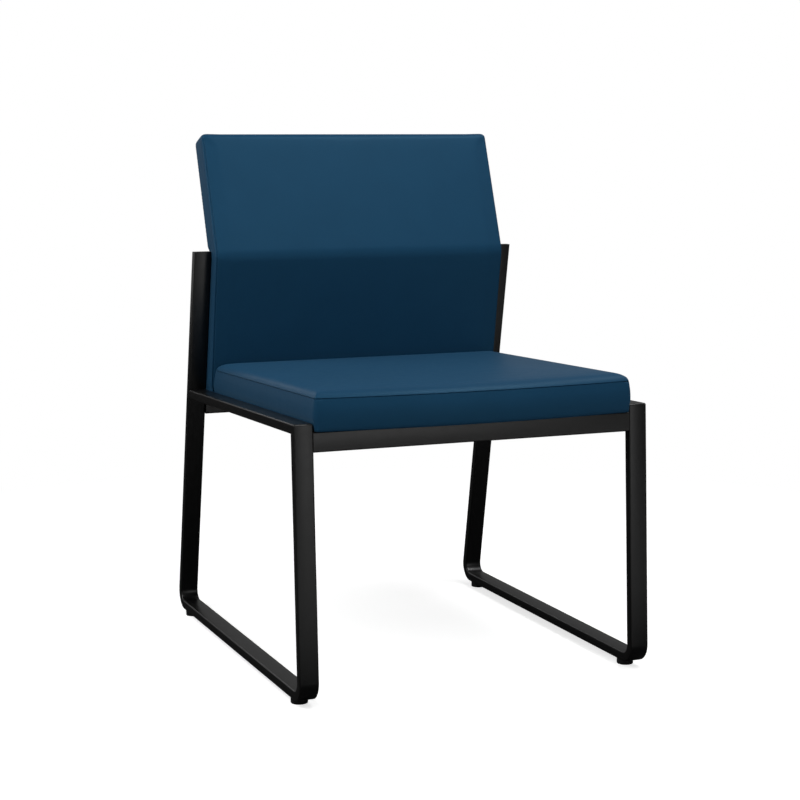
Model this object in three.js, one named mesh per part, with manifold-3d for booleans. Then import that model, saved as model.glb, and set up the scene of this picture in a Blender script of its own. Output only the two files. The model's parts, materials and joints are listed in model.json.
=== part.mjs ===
// Sled base visitor chair: a welded steel frame with a padded seat and a bent, padded back.
// Millimetres, +Z up. The sitter faces -Y. The origin is on the floor, under the middle of the
// chair's outer box.
import * as THREE from 'three';
import { mergeVertices } from 'three/addons/utils/BufferGeometryUtils.js';
import Module from 'manifold-3d';

const wasm = await Module();
wasm.setup();

const { degToRad } = THREE.MathUtils;

// Overall
const OVERALL_WIDTH = 578;
const FRAME_SETBACK = 5.358; // from the outer box's middle to the frame's
const GAP = 0.3; // left between pieces that touch

// Rectangular steel tube of the frame, bent the flat way
const TUBE_WIDTH = 30;
const TUBE_DEPTH = 15;
const TUBE_WALL = 1.5;
const TUBE_CORNER = 1.5;
const BEND_RADIUS = 22; // of the tube's centre line
const BEND_STEPS = 8;

// Side loop, seen from the side
const GLIDE_HEIGHT = 9.5;
const POST_TOP = 638.7;
const POST_FOOT_Y = 319.2; // where the post's centre line would meet the floor
const POST_LEAN = degToRad(10.83); // forwards, going up
const LEG_FOOT_Y = -313.3; // where the front leg's centre line would meet the floor
const LEG_LEAN = degToRad(2.98); // backwards, going up
const CORNER_TOP = 420.3; // height of the mitred corner over the front leg
const SEAT_SLOPE = degToRad(1.85); // down towards the back
const END_PLATE = 2; // thickness of the plate that closes the post

// Cross rails, of the same tube on edge, below the side rails' top faces
const CROSS_RAIL_DROP = 12.5;
const FRONT_RAIL_SETBACK = 8.4; // from the leg's front face to the rail's middle
const RAIL_SPACING = 536.5;

// Glides
const GLIDE_RADIUS = 13;
const GLIDE_FRONT_Y = -272.5;
const GLIDE_REAR_Y = 281;
const RIVET_NUT_HOLE = 4.8;

// Fasteners, M6
const SHANK_RADIUS = 2.7;
const THREAD_RADIUS = 3;
const CLEARANCE_HOLE = 3.5;
const BARREL_HOLE = 4.3;
const SCREW_SIDES = 12;
const TURNED_SIDES = 20;

// Brackets of steel strip
const STRIP = 3;
const SEAT_BRACKET_X = 180;
const SEAT_BRACKET_WIDTH = 30;
const SEAT_BRACKET_LEG = 20;
const FRONT_BRACKET_LENGTH = 34;
const REAR_BRACKET_LENGTH = 92;
const BRACKET_NOTCH = { y: 486, depth: 9 }; // leaves room for the back's lower edge
const FRONT_SCREW_Y = 26;
const REAR_SCREW_Y = 456;
const BACK_BRACKET_LENGTH = 54;
const BACK_BRACKET_HEIGHT = 40;
const BACK_SCREW_X = 226;
const BACK_SCREW_LEVELS = { lower: 74, upper: 194 }; // up the lower half of the back

// Seat pad, in the seat's frame
const SEAT_HALF_WIDTH = 260.3;
const SEAT_SQUEEZE = 1.7; // each side, where it lies between the side rails
const SEAT_FRONT = -14.9; // of its widest line, at the ends of the front edge
const SEAT_BOW = 23; // how far the middle of the front edge stands forward of its ends
const SEAT_SAG = 1.3; // how far the lower edge hangs there
const SEAT_REAR = 488.6; // at the rails' top faces
const SEAT_REAR_LEAN = 0.203; // forwards, going up, along the back's face
const SEAT_CORNER = 7;
const SEAM_INSET = 2.6;
const SEAM_HEIGHT = 48.4;
const SHOULDER_RISE = 11.6;
const SHOULDER_WIDTH = 5.5;
const CROWN_RISE = 5;
const CROWN_WIDTH = 60;
const COVER_THICKNESS = 1.2;
const BOARD_BOTTOM = 1.6;
const SEAT_BOARD_THICKNESS = 12;
const BOARD_SETBACK = 11; // from the pad's widest line to the board's edge
const DUST_COVER = { bottom: 0.5, top: 1.3 };

// Back pad. Depth is square to its front face, and run is measured up that face
const BACK_HALF_WIDTH = 261.3;
const BACK_SQUEEZE = 2.7; // each side, where it lies between the posts or the seat rails
const BACK_THICKNESS = 47;
const BACK_VERTEX = { y: 157.6, z: 633 }; // where the front face's two flats would meet
const BACK_LOWER_LEAN = degToRad(9.6); // forwards, going up
const BACK_UPPER_LEAN = degToRad(20.6); // backwards, going up
const BACK_LOWER = 250.5;
const BACK_UPPER = 216.9;
const BACK_BEND_RADIUS = 40;
const BACK_LEAST_RADIUS = 3;
const BACK_BEND_STEPS = 5;
const BACK_FOAM_DEPTH = 27.2;
const BACK_BOARD = { front: 27.5, rear: 37.5, setback: 12.3 };
const REAR_PAD = { rear: 44.3, setback: 16 };

const sides = { left: -1, right: 1 };

// Finishes
const finish = {
  powderCoat: { color: 0x1b1b1c, roughness: 0.42, metalness: 0.3 },
  vinyl: { color: 0x1d4465, roughness: 0.48, metalness: 0 },
  foam: { color: 0xd8d2bd, roughness: 0.95, metalness: 0 },
  plywood: { color: 0xb08d5f, roughness: 0.7, metalness: 0 },
  zinc: { color: 0xb9bbb8, roughness: 0.35, metalness: 0.9 },
  nylon: { color: 0x101011, roughness: 0.6, metalness: 0 },
  lining: { color: 0x141416, roughness: 0.95, metalness: 0 },
};

function part(name, geometry, look) {
  const mesh = new THREE.Mesh(geometry, new THREE.MeshStandardMaterial(look));
  mesh.name = name;
  return mesh;
}

// Solids for joining and cutting

function solid(geometry) {
  const flat = geometry.index ? geometry.toNonIndexed() : geometry;
  const bare = new THREE.BufferGeometry().setAttribute('position', flat.getAttribute('position'));
  const merged = mergeVertices(bare, 1e-4);
  return new wasm.Manifold(new wasm.Mesh({
    numProp: 3,
    vertProperties: merged.attributes.position.array,
    triVerts: new Uint32Array(merged.index.array),
  }));
}

function geometryOf(body) {
  const mesh = body.getMesh();
  const geometry = new THREE.BufferGeometry();
  geometry.setAttribute('position', new THREE.BufferAttribute(mesh.vertProperties, 3));
  geometry.setIndex(new THREE.BufferAttribute(mesh.triVerts, 1));
  geometry.computeVertexNormals();
  return geometry;
}

function cut(geometry, cutters) {
  return geometryOf(cutters.reduce((body, cutter) => body.subtract(solid(cutter)), solid(geometry)));
}

function block(x0, x1, y0, y1, z0, z1) {
  return new THREE.BoxGeometry(x1 - x0, y1 - y0, z1 - z0)
    .translate((x0 + x1) / 2, (y0 + y1) / 2, (z0 + z1) / 2);
}

function hole(radius, x, y, z0, z1) {
  return new THREE.CylinderGeometry(radius, radius, z1 - z0, SCREW_SIDES)
    .rotateX(Math.PI / 2).translate(x, y, (z0 + z1) / 2);
}

// A turned piece about Z from its half section, given anticlockwise as [radius, z].
function turned(section, count) {
  const points = section.map(([radius, z]) => new THREE.Vector2(radius, z));
  return new THREE.LatheGeometry(points, count).rotateX(Math.PI / 2);
}

// A closed body through a stack of rings, each anticlockwise seen from the last one's side.
function loft(rings) {
  const count = rings[0].length;
  const last = (rings.length - 1) * count;
  const middle = (ring) => ring.reduce((sum, p) => sum.add(p), new THREE.Vector3())
    .divideScalar(count);
  const points = [...rings.flat(), middle(rings[0]), middle(rings.at(-1))];
  const faces = [];
  for (let j = 0; j < count; j++) {
    const next = (j + 1) % count;
    for (let base = 0; base < last; base += count) {
      faces.push(base + j, base + next, base + count + next);
      faces.push(base + j, base + count + next, base + count + j);
    }
    faces.push(points.length - 2, next, j);
    faces.push(points.length - 1, last + j, last + next);
  }
  return new THREE.BufferGeometry().setFromPoints(points).setIndex(faces);
}

// Side loop: its lines and corners are [y, z] vectors

function along(angle) {
  return new THREE.Vector2(Math.cos(angle), Math.sin(angle));
}

function leftOf(direction) {
  return new THREE.Vector2(-direction.y, direction.x);
}

function step(point, direction, distance) {
  return point.clone().addScaledVector(direction, distance);
}

function meeting(p, u, q, v) {
  const across = u.x * v.y - u.y * v.x;
  const t = ((q.x - p.x) * v.y - (q.y - p.y) * v.x) / across;
  return step(p, u, t);
}

const postUp = along(Math.PI / 2 + POST_LEAN);
const legUp = along(Math.PI / 2 - LEG_LEAN);
const railBack = along(-SEAT_SLOPE);
const postFoot = new THREE.Vector2(POST_FOOT_Y, 0);
const legFoot = new THREE.Vector2(LEG_FOOT_Y, 0);
const level = new THREE.Vector2(1, 0);
const HALF_DEPTH = TUBE_DEPTH / 2;
const runnerMiddle = new THREE.Vector2(0, GLIDE_HEIGHT + HALF_DEPTH);

const legFace = step(legFoot, leftOf(legUp), HALF_DEPTH);
const frontCorner = meeting(legFace, legUp, new THREE.Vector2(0, CORNER_TOP), level);
const railMiddle = step(frontCorner, leftOf(railBack), -HALF_DEPTH);
const mitre = meeting(legFoot, legUp, railMiddle, railBack);
const mitreAlong = mitre.clone().sub(frontCorner).normalize();
const postFace = step(postFoot, leftOf(postUp), HALF_DEPTH);
const postHead = meeting(postFoot, postUp, new THREE.Vector2(0, POST_TOP), level);
const rearBend = meeting(postFoot, postUp, runnerMiddle, level);
const frontBend = meeting(legFoot, legUp, runnerMiddle, level);

// One edge of a bent strip: its centre path moved to the left, with round corners.
function stripEdge(path, offset) {
  const points = [];
  path.forEach((corner, i) => {
    const into = i > 0 ? corner.clone().sub(path[i - 1]).normalize() : null;
    const out = i < path.length - 1 ? path[i + 1].clone().sub(corner).normalize() : null;
    if (!into || !out) {
      points.push(step(corner, leftOf(into ?? out), offset));
      return;
    }
    const a = leftOf(into);
    const b = leftOf(out);
    const centre = step(corner, a.clone().add(b), -BEND_RADIUS / (1 + a.dot(b)));
    const turn = Math.atan2(a.x * b.y - a.y * b.x, a.dot(b));
    for (let k = 0; k <= BEND_STEPS; k++) {
      const direction = along(a.angle() + (turn * k) / BEND_STEPS);
      points.push(step(centre, direction, BEND_RADIUS + offset));
    }
  });
  return points;
}

function stripShape(path, halfDepth) {
  return new THREE.Shape([...stripEdge(path, halfDepth), ...stripEdge(path, -halfDepth).reverse()]);
}

// Extrudes a [y, z] shape across the chair, centred on x = 0, with its long edges rounded.
function across(shape, width, corner) {
  const geometry = new THREE.ExtrudeGeometry(shape, {
    depth: width - 2 * corner,
    bevelEnabled: corner > 0,
    bevelThickness: corner,
    bevelSize: corner,
    bevelOffset: -corner,
    bevelSegments: 2,
    curveSegments: 3,
  });
  const toYZX = new THREE.Matrix4().makeBasis(
    new THREE.Vector3(0, 1, 0), new THREE.Vector3(0, 0, 1), new THREE.Vector3(1, 0, 0));
  return geometry.translate(0, 0, corner - width / 2).applyMatrix4(toYZX);
}

// Everything on one side of a line, as a block to cut with.
function beyond(point, outwards) {
  const reach = 400;
  return new THREE.BoxGeometry(2 * TUBE_WIDTH, reach, reach)
    .translate(0, reach / 2, 0)
    .rotateX(outwards.angle())
    .translate(0, point.x, point.y);
}

function bar(path) {
  return across(stripShape(path, HALF_DEPTH), TUBE_WIDTH, TUBE_CORNER);
}

function bore(path) {
  return across(stripShape(path, HALF_DEPTH - TUBE_WALL), TUBE_WIDTH - 2 * TUBE_WALL, 0);
}

function sideTubeGeometry() {
  const spare = 30;
  const path = [step(postHead, postUp, spare), rearBend, frontBend, step(mitre, legUp, spare)];
  const overMitre = beyond(step(mitre, leftOf(mitreAlong), -GAP / 2), leftOf(mitreAlong));
  const overPost = block(-TUBE_WIDTH, TUBE_WIDTH, 0, POST_FOOT_Y,
    POST_TOP - END_PLATE - GAP, POST_TOP + 2 * spare);
  const nutHoles = [GLIDE_FRONT_Y, GLIDE_REAR_Y].map((y) => hole(RIVET_NUT_HOLE, 0, y,
    GLIDE_HEIGHT - TUBE_WALL, GLIDE_HEIGHT + 2 * TUBE_WALL));
  return cut(bar(path), [bore(path), overMitre, overPost, ...nutHoles]);
}

function seatRailGeometry() {
  const spare = 30;
  const postMeeting = meeting(railMiddle, railBack, postFace, postUp);
  const path = [step(mitre, railBack, -spare), step(postMeeting, railBack, spare)];
  const beforeMitre = beyond(step(mitre, leftOf(mitreAlong), GAP / 2),
    leftOf(mitreAlong).negate());
  const overPost = beyond(step(postMeeting, leftOf(postUp), GAP), leftOf(postUp).negate());
  return cut(bar(path), [bore(path), beforeMitre, overPost]);
}

function endPlateGeometry() {
  const spare = 30;
  const post = bar([step(postHead, postUp, spare), step(postHead, postUp, -spare)]);
  const over = block(-TUBE_WIDTH, TUBE_WIDTH, 0, POST_FOOT_Y, POST_TOP, POST_TOP + 2 * spare);
  const under = block(-TUBE_WIDTH, TUBE_WIDTH, 0, POST_FOOT_Y,
    POST_TOP - 2 * spare, POST_TOP - END_PLATE);
  return cut(post, [over, under]);
}

function roundedRectangle(width, height, radius) {
  const x = width / 2 - radius;
  const y = height / 2 - radius;
  const outline = new THREE.Shape();
  outline.absarc(x, y, radius, 0, Math.PI / 2);
  outline.absarc(-x, y, radius, Math.PI / 2, Math.PI);
  outline.absarc(-x, -y, radius, Math.PI, 1.5 * Math.PI);
  outline.absarc(x, -y, radius, 1.5 * Math.PI, 2 * Math.PI);
  outline.closePath();
  return outline;
}

function crossRailGeometry() {
  const section = roundedRectangle(TUBE_DEPTH, TUBE_WIDTH, TUBE_CORNER);
  const inside = block(-OVERALL_WIDTH, OVERALL_WIDTH, TUBE_WALL - HALF_DEPTH,
    HALF_DEPTH - TUBE_WALL, TUBE_WALL - TUBE_WIDTH, -TUBE_WALL);
  const rail = across(section, OVERALL_WIDTH - 2 * TUBE_WIDTH - 2 * GAP, 0);
  return cut(rail.translate(0, 0, -TUBE_WIDTH / 2), [inside]);
}

// Fasteners, along +Z

function screwGeometry() {
  const head = { radius: 5.6, height: 3.4, edge: 1 };
  const length = 13.5;
  return turned([[0, -head.height], [head.radius - head.edge, -head.height],
    [head.radius, -head.height + head.edge], [head.radius, 0],
    [SHANK_RADIUS, 0], [SHANK_RADIUS, length], [0, length]], SCREW_SIDES);
}

function teeNutGeometry() {
  const flange = { radius: 9, height: 1.2 };
  const barrel = { radius: 4, length: 9 };
  return turned([[THREAD_RADIUS, -barrel.length], [barrel.radius, -barrel.length],
    [barrel.radius, 0], [flange.radius, 0], [flange.radius, flange.height],
    [THREAD_RADIUS, flange.height], [THREAD_RADIUS, -barrel.length]], SCREW_SIDES);
}

// Nylon foot under the runner, with a stepped hole for its screw and a seat for the rivet nut.
function glideGeometry() {
  const top = GLIDE_HEIGHT - GAP;
  const foot = { radius: 11.6, height: 1.8 };
  const pocket = { radius: 6.4, roof: 4.4 };
  const nutSeat = { radius: 6, floor: top - 1.1 };
  return turned([[pocket.radius, 0], [foot.radius, 0], [GLIDE_RADIUS, foot.height],
    [GLIDE_RADIUS, top], [nutSeat.radius, top], [nutSeat.radius, nutSeat.floor],
    [CLEARANCE_HOLE, nutSeat.floor], [CLEARANCE_HOLE, pocket.roof],
    [pocket.radius, pocket.roof], [pocket.radius, 0]], TURNED_SIDES);
}

function rivetNutGeometry() {
  const flange = { radius: 5.6, bottom: GLIDE_HEIGHT - GAP - 0.8, top: GLIDE_HEIGHT - GAP };
  const bodyRadius = 4.5;
  const bodyTop = 19;
  return turned([[THREAD_RADIUS, flange.bottom], [flange.radius, flange.bottom],
    [flange.radius, flange.top], [bodyRadius, flange.top], [bodyRadius, bodyTop],
    [THREAD_RADIUS, bodyTop], [THREAD_RADIUS, flange.bottom]], SCREW_SIDES);
}

// Welded frame

function buildSide(side) {
  const group = new THREE.Group();
  const tube = part(`${side}_side_tube`, sideTubeGeometry(), finish.powderCoat);
  const rail = part(`${side}_seat_rail`, seatRailGeometry(), finish.powderCoat);
  const plate = part(`${side}_post_end_plate`, endPlateGeometry(), finish.powderCoat);
  group.add(tube, rail, plate);
  for (const [place, y] of [['front', GLIDE_FRONT_Y], ['rear', GLIDE_REAR_Y]]) {
    const glide = part(`glide_${place}_${side}`, glideGeometry(), finish.nylon);
    const screw = part(`glide_screw_${place}_${side}`, screwGeometry(), finish.zinc);
    const nut = part(`rivet_nut_${place}_${side}`, rivetNutGeometry(), finish.zinc);
    screw.position.z = 4.1;
    for (const piece of [glide, screw, nut]) {
      piece.position.y = y;
      group.add(piece);
    }
  }
  group.position.x = (sides[side] * (OVERALL_WIDTH - TUBE_WIDTH)) / 2;
  return group;
}

// Seat. Its brackets hang on the cross rails, and its parts are listed from below upwards

const railFace = HALF_DEPTH + GAP; // from a cross rail's middle to what is welded to it
const seatBrackets = {
  front: { y0: railFace, y1: railFace + FRONT_BRACKET_LENGTH, screwY: FRONT_SCREW_Y },
  rear: {
    y0: RAIL_SPACING - railFace - REAR_BRACKET_LENGTH,
    y1: RAIL_SPACING - railFace,
    screwY: REAR_SCREW_Y,
  },
};

function eachSeatBracket(make) {
  return Object.keys(sides).flatMap((side) => Object.entries(seatBrackets)
    .map(([place, bracket]) => make(sides[side] * SEAT_BRACKET_X, bracket, `${place}_${side}`)));
}

// An angle of steel strip under the board, from a cross rail to its free end. Its upright leg
// is on the side away from the chair's middle. The rear ones are notched under the back.
function seatBracketGeometry(x, { y0, y1, screwY }) {
  const outer = x + (Math.sign(x) * SEAT_BRACKET_WIDTH) / 2;
  const inner = x - (Math.sign(x) * SEAT_BRACKET_WIDTH) / 2;
  const legSide = outer - Math.sign(x) * STRIP;
  const top = BOARD_BOTTOM - GAP;
  const flange = block(Math.min(inner, outer), Math.max(inner, outer), y0, y1, top - STRIP, top);
  const leg = block(Math.min(legSide, outer), Math.max(legSide, outer), y0, y1,
    top - SEAT_BRACKET_LEG, top - STRIP / 2);
  const angle = geometryOf(solid(flange).add(solid(leg)));
  const notch = block(Math.min(inner, outer) - 1, Math.max(inner, outer) + 1, BRACKET_NOTCH.y,
    RAIL_SPACING, top - BRACKET_NOTCH.depth, top + 1);
  return cut(angle, [notch, hole(CLEARANCE_HOLE, x, screwY, top - 2 * STRIP, top + STRIP)]);
}

// A ring of the pad at a height, drawn in by an inset from its widest line. Every ring has the
// same points. The front edge bows forwards, and may hang a little in its middle. Below the
// side rails' top faces the pad is squeezed between the rails.
function padRing(inset, height, sag) {
  const cornerSteps = 4;
  const edgeSteps = [4, 4, 4, 8]; // right, rear, left, front
  const half = SEAT_HALF_WIDTH - inset - (height < CROSS_RAIL_DROP ? SEAT_SQUEEZE : 0);
  const front = SEAT_FRONT + inset;
  const rear = SEAT_REAR - SEAT_REAR_LEAN * height - inset * 0.35;
  const radius = SEAT_CORNER + inset * 0.3;
  const corners = [[1, front + radius, -90], [1, rear - radius, 0], [-1, rear - radius, 90],
    [-1, front + radius, 180]];
  const arcs = corners.map(([sign, y, start]) => Array.from({ length: cornerSteps + 1 }, (_, k) =>
    along(degToRad(start + (90 * k) / cornerSteps)).multiplyScalar(radius)
      .add(new THREE.Vector2(sign * (half - radius), y))));
  const middle = (front + rear) / 2;
  return arcs.flatMap((arc, i) => {
    const next = arcs[(i + 1) % arcs.length][0];
    const between = Array.from({ length: edgeSteps[i] - 1 },
      (_, k) => arc.at(-1).clone().lerp(next, (k + 1) / edgeSteps[i]));
    return [...arc, ...between];
  }).map(({ x, y }) => {
    const arch = (1 - (x / half) ** 2) * Math.max(0, (middle - y) / (middle - front)) ** 6;
    return new THREE.Vector3(x, y - SEAT_BOW * arch, height - sag * SEAT_SAG * arch);
  });
}

function crownHeight(inset) {
  const run = inset - SEAM_INSET;
  return SEAM_HEIGHT + SHOULDER_RISE * (1 - Math.exp(-run / SHOULDER_WIDTH))
    + CROWN_RISE * (1 - Math.exp(-run / CROWN_WIDTH));
}

// The whole pad's form, or that form drawn in by the thickness of what lies over it.
function padForm(shrink) {
  const bottom = GAP + shrink;
  const boxing = [[12, bottom, 0], [7, bottom, 1], [2, bottom + 2.6, 1],
    [0, CROSS_RAIL_DROP - 0.5, 0.5], [0, CROSS_RAIL_DROP + 3, 0.5], [0, 29, 0], [1, 40.5, 0]];
  const notch = [[2.2, SEAM_HEIGHT - 1.8, 0], [4.2, SEAM_HEIGHT, 0],
    [SEAM_INSET, SEAM_HEIGHT + 1.4, 0]];
  const seam = shrink > 0 ? [notch[1]] : notch;
  const rings = [...boxing, ...seam].map(([inset, height, sag]) =>
    padRing(inset + shrink, height, sag));
  for (const inset of [6, 10, 16, 36, 110]) {
    rings.push(padRing(inset + shrink, crownHeight(inset) - shrink, 0));
  }
  return loft(rings);
}

function boardBlock(setback, bottom, top) {
  return loft([padRing(setback, bottom, 0), padRing(setback, top, 0)]);
}

const boardTop = BOARD_BOTTOM + SEAT_BOARD_THICKNESS;

function seatBoardGeometry() {
  const holes = eachSeatBracket((x, { screwY }) =>
    hole(BARREL_HOLE, x, screwY, 0, boardTop + GAP));
  return cut(boardBlock(BOARD_SETBACK, BOARD_BOTTOM, boardTop), holes);
}

function seatFoamGeometry() {
  const room = boardBlock(BOARD_SETBACK - GAP, -SEAT_BOARD_THICKNESS, boardTop + GAP);
  const pockets = eachSeatBracket((x, { screwY }) =>
    hole(9.7, x, screwY, boardTop, boardTop + 2.1));
  return cut(padForm(COVER_THICKNESS + GAP), [room, ...pockets]);
}

// The cover turns under the board's edge by the width of its hem, and is slit round the brackets.
const HEM = { front: 7.2, side: 228, rear: 465 };

function bracketSlits() {
  const half = SEAT_BRACKET_WIDTH / 2 + 2;
  return eachSeatBracket((x, { y0, y1 }) => block(x - half, x + half, y0 - 2, y1 + 2,
    -SEAT_BRACKET_LEG, BOARD_BOTTOM - GAP / 2));
}

function seatCoverGeometry() {
  const opening = block(-HEM.side, HEM.side, HEM.front, HEM.rear, -STRIP, BOARD_BOTTOM + STRIP);
  return cut(padForm(0), [padForm(COVER_THICKNESS), opening, ...bracketSlits()]);
}

function dustCoverGeometry() {
  const sheet = block(-HEM.side + 1, HEM.side - 1, HEM.front + 1, HEM.rear - 1,
    DUST_COVER.bottom, DUST_COVER.top);
  return cut(sheet, bracketSlits());
}

function buildSeat() {
  const group = new THREE.Group();
  const frontRail = part('front_cross_rail', crossRailGeometry(), finish.powderCoat);
  const rearRail = part('rear_cross_rail', crossRailGeometry(), finish.powderCoat);
  rearRail.position.y = RAIL_SPACING;
  group.add(frontRail, rearRail);
  eachSeatBracket((x, bracket, place) => {
    const { screwY } = bracket;
    const angle = part(`seat_bracket_${place}`, seatBracketGeometry(x, bracket),
      finish.powderCoat);
    const screw = part(`seat_screw_${place}`, screwGeometry(), finish.zinc);
    const nut = part(`seat_tee_nut_${place}`, teeNutGeometry(), finish.zinc);
    screw.position.set(x, screwY, BOARD_BOTTOM - STRIP - 2 * GAP);
    nut.position.set(x, screwY, boardTop + GAP);
    group.add(angle, screw, nut);
  });
  group.add(part('seat_board', seatBoardGeometry(), finish.plywood));
  group.add(part('seat_foam', seatFoamGeometry(), finish.foam));
  group.add(part('seat_cover', seatCoverGeometry(), finish.vinyl));
  group.add(part('seat_dust_cover', dustCoverGeometry(), finish.lining));
  const legFront = meeting(legFace, legUp, new THREE.Vector2(0, CORNER_TOP - TUBE_WIDTH), level);
  const y = legFront.x + FRONT_RAIL_SETBACK;
  const top = meeting(frontCorner, railBack, new THREE.Vector2(y, 0), new THREE.Vector2(0, 1));
  group.position.set(0, y, top.y - CROSS_RAIL_DROP);
  group.rotation.x = -SEAT_SLOPE;
  return group;
}

// Back: a panel bent once, its layers listed from the front backwards

const lowerUp = along(Math.PI / 2 + BACK_LOWER_LEAN);
const upperUp = along(Math.PI / 2 - BACK_UPPER_LEAN);
const lowerIn = leftOf(lowerUp).negate(); // from the front face into the lower half
const upperIn = leftOf(upperUp).negate();
const halfTurn = (BACK_LOWER_LEAN + BACK_UPPER_LEAN) / 2;
const vertexIn = lowerIn.clone().add(upperIn).normalize().divideScalar(Math.cos(halfTurn));
const vertexFront = new THREE.Vector2(BACK_VERTEX.y, BACK_VERTEX.z);
const bendSetback = BACK_BEND_RADIUS * Math.tan(halfTurn);
const lowerRun = BACK_LOWER - bendSetback;
const bendRun = BACK_BEND_RADIUS * 2 * halfTurn;
const backRun = lowerRun + bendRun + BACK_UPPER - bendSetback;
const backBottom = step(vertexFront, lowerUp, -BACK_LOWER);
const backTop = step(vertexFront, upperUp, BACK_UPPER);
const railTopRun = 20.5; // above it the back clears the seat rails
const postTopRun = lowerRun + bendRun + 9.5; // above it the back clears the posts

// The [y, z] point at a run up the back and a depth behind its front face.
function backPoint(run, depth) {
  const radius = Math.max(BACK_BEND_RADIUS - depth, BACK_LEAST_RADIUS);
  const vertex = step(vertexFront, vertexIn, depth);
  const bendStart = step(vertex, lowerUp, -radius * Math.tan(halfTurn));
  const bendEnd = step(vertex, upperUp, radius * Math.tan(halfTurn));
  if (run <= lowerRun) return step(backBottom, lowerIn, depth).lerp(bendStart, run / lowerRun);
  if (run >= lowerRun + bendRun) {
    const share = (run - lowerRun - bendRun) / (backRun - lowerRun - bendRun);
    return bendEnd.lerp(step(backTop, upperIn, depth), share);
  }
  const turn = 2 * halfTurn * ((run - lowerRun) / bendRun);
  const centre = step(bendStart, lowerIn, radius);
  return step(centre, along(lowerIn.angle() - turn), -radius);
}

function backRing(run, section) {
  return section.map(([x, depth]) => {
    const point = backPoint(run, depth);
    return new THREE.Vector3(x, point.x, point.y);
  });
}

// Runs at which the back is ruled: its ends, any given between them, and the bend.
function backRuns(start, end, between) {
  const bend = Array.from({ length: BACK_BEND_STEPS + 1 },
    (_, k) => lowerRun + (bendRun * k) / BACK_BEND_STEPS);
  return [start, ...bend, ...between, end].sort((a, b) => a - b);
}

// A plain layer of the back between two depths.
function backLayer(halfWidth, setback, front, rear) {
  const section = [[halfWidth, front], [halfWidth, rear], [-halfWidth, rear], [-halfWidth, front]];
  return loft(backRuns(setback, backRun - setback, []).map((run) => backRing(run, section)));
}

// Half section of the padded back as [x, depth], from the middle of its front to the middle of
// its rear. The side strip is sewn in along both edges.
const backFront = [[0, 0], [110, 0.2], [240, 0.8], [254, 1.2], [256.4, 1.6]];
const backSeams = {
  front: [[258.5, 2.5], [258, 3.6], [259.7, 3.9]],
  rear: [[260.2, 44], [258.7, 44.2], [258.9, 45]],
};
const backSide = [[261, 6.8], [BACK_HALF_WIDTH, 25], [BACK_HALF_WIDTH, 28], [261.2, 41.8]];
const backRear = [[256.8, 45.7], [225, 46.4], [0, BACK_THICKNESS]];

// Depth to which the back keeps its full width at a run: nowhere between the seat rails, in front
// of the posts beside them, and everywhere above them.
function freeDepth(run) {
  if (run <= railTopRun) return -1;
  return run <= postTopRun ? 26 : BACK_THICKNESS;
}

// The section drawn in on every side, anticlockwise seen from above.
function backSection(inset, free, withSeams) {
  const seams = withSeams ? backSeams : { front: [backSeams.front[1]], rear: [backSeams.rear[1]] };
  const whole = [...backFront, ...seams.front, ...backSide, ...seams.rear, ...backRear];
  const half = whole.map(([x, depth]) =>
    [depth > free && x > 230 ? x - BACK_SQUEEZE : x, depth]);
  const mirrored = half.slice(1, -1).reverse().map(([x, depth]) => [-x, depth]);
  const wide = (BACK_HALF_WIDTH - inset) / BACK_HALF_WIDTH;
  const middle = BACK_THICKNESS / 2;
  const deep = (middle - inset) / middle;
  return [...half, ...mirrored].map(([x, depth]) => [x * wide, middle + (depth - middle) * deep]);
}

// The whole back's form, or that form drawn in by the thickness of what lies over it.
function backForm(shrink) {
  const rounding = [[0, 8], [1.8, 3.6], [4.6, 1], [9, 0]]; // distance from the end, inset
  const rings = [];
  rounding.forEach(([run, inset]) => rings.push([run + shrink, inset + shrink]));
  const middle = backRuns(railTopRun, backRun - 90,
    [railTopRun + 4, 90, lowerRun - 60, postTopRun, postTopRun + 10]);
  middle.forEach((run) => rings.push([run, shrink]));
  rounding.reverse().forEach(([run, inset]) =>
    rings.push([backRun - run - shrink, inset + shrink]));
  return loft(rings.map(([run, inset]) =>
    backRing(run, backSection(inset, freeDepth(run), shrink === 0))));
}

// The lower half's frame: x across, y up the front face, -z into the back.
const lowerHalf = new THREE.Group();
lowerHalf.position.set(0, backBottom.x, backBottom.y);
lowerHalf.rotation.x = lowerUp.angle();
lowerHalf.updateMatrixWorld(true);

function inLowerHalf(geometry) {
  return geometry.applyMatrix4(lowerHalf.matrixWorld);
}

function eachBackBracket(make) {
  return Object.keys(sides).flatMap((side) => Object.entries(BACK_SCREW_LEVELS)
    .map(([place, run]) => make(sides[side], run, `${place}_${side}`)));
}

const plateFront = BACK_BOARD.rear + GAP;
const plateRear = plateFront + STRIP;
const innerFaceX = OVERALL_WIDTH / 2 - TUBE_WIDTH;

// A plate from the post's inner face to behind the board, or the room that it needs.
function backPlate(sign, run, room) {
  const outer = innerFaceX - GAP + (room > 0 ? 5 : 0);
  const inner = innerFaceX - BACK_BRACKET_LENGTH - room;
  const half = BACK_BRACKET_HEIGHT / 2 + room;
  return block(Math.min(sign * inner, sign * outer), Math.max(sign * inner, sign * outer),
    run - half, run + half, -plateRear - room, -plateFront + room);
}

function bracketRooms() {
  return eachBackBracket((sign, run) => inLowerHalf(backPlate(sign, run, GAP)));
}

function backBoardGeometry() {
  const board = backLayer(BACK_HALF_WIDTH - BACK_BOARD.setback, BACK_BOARD.setback,
    BACK_BOARD.front, BACK_BOARD.rear);
  return cut(board, eachBackBracket((sign, run) => inLowerHalf(
    hole(BARREL_HOLE, sign * BACK_SCREW_X, run, -BACK_BOARD.rear - 1, -BACK_BOARD.front + 1))));
}

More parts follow.
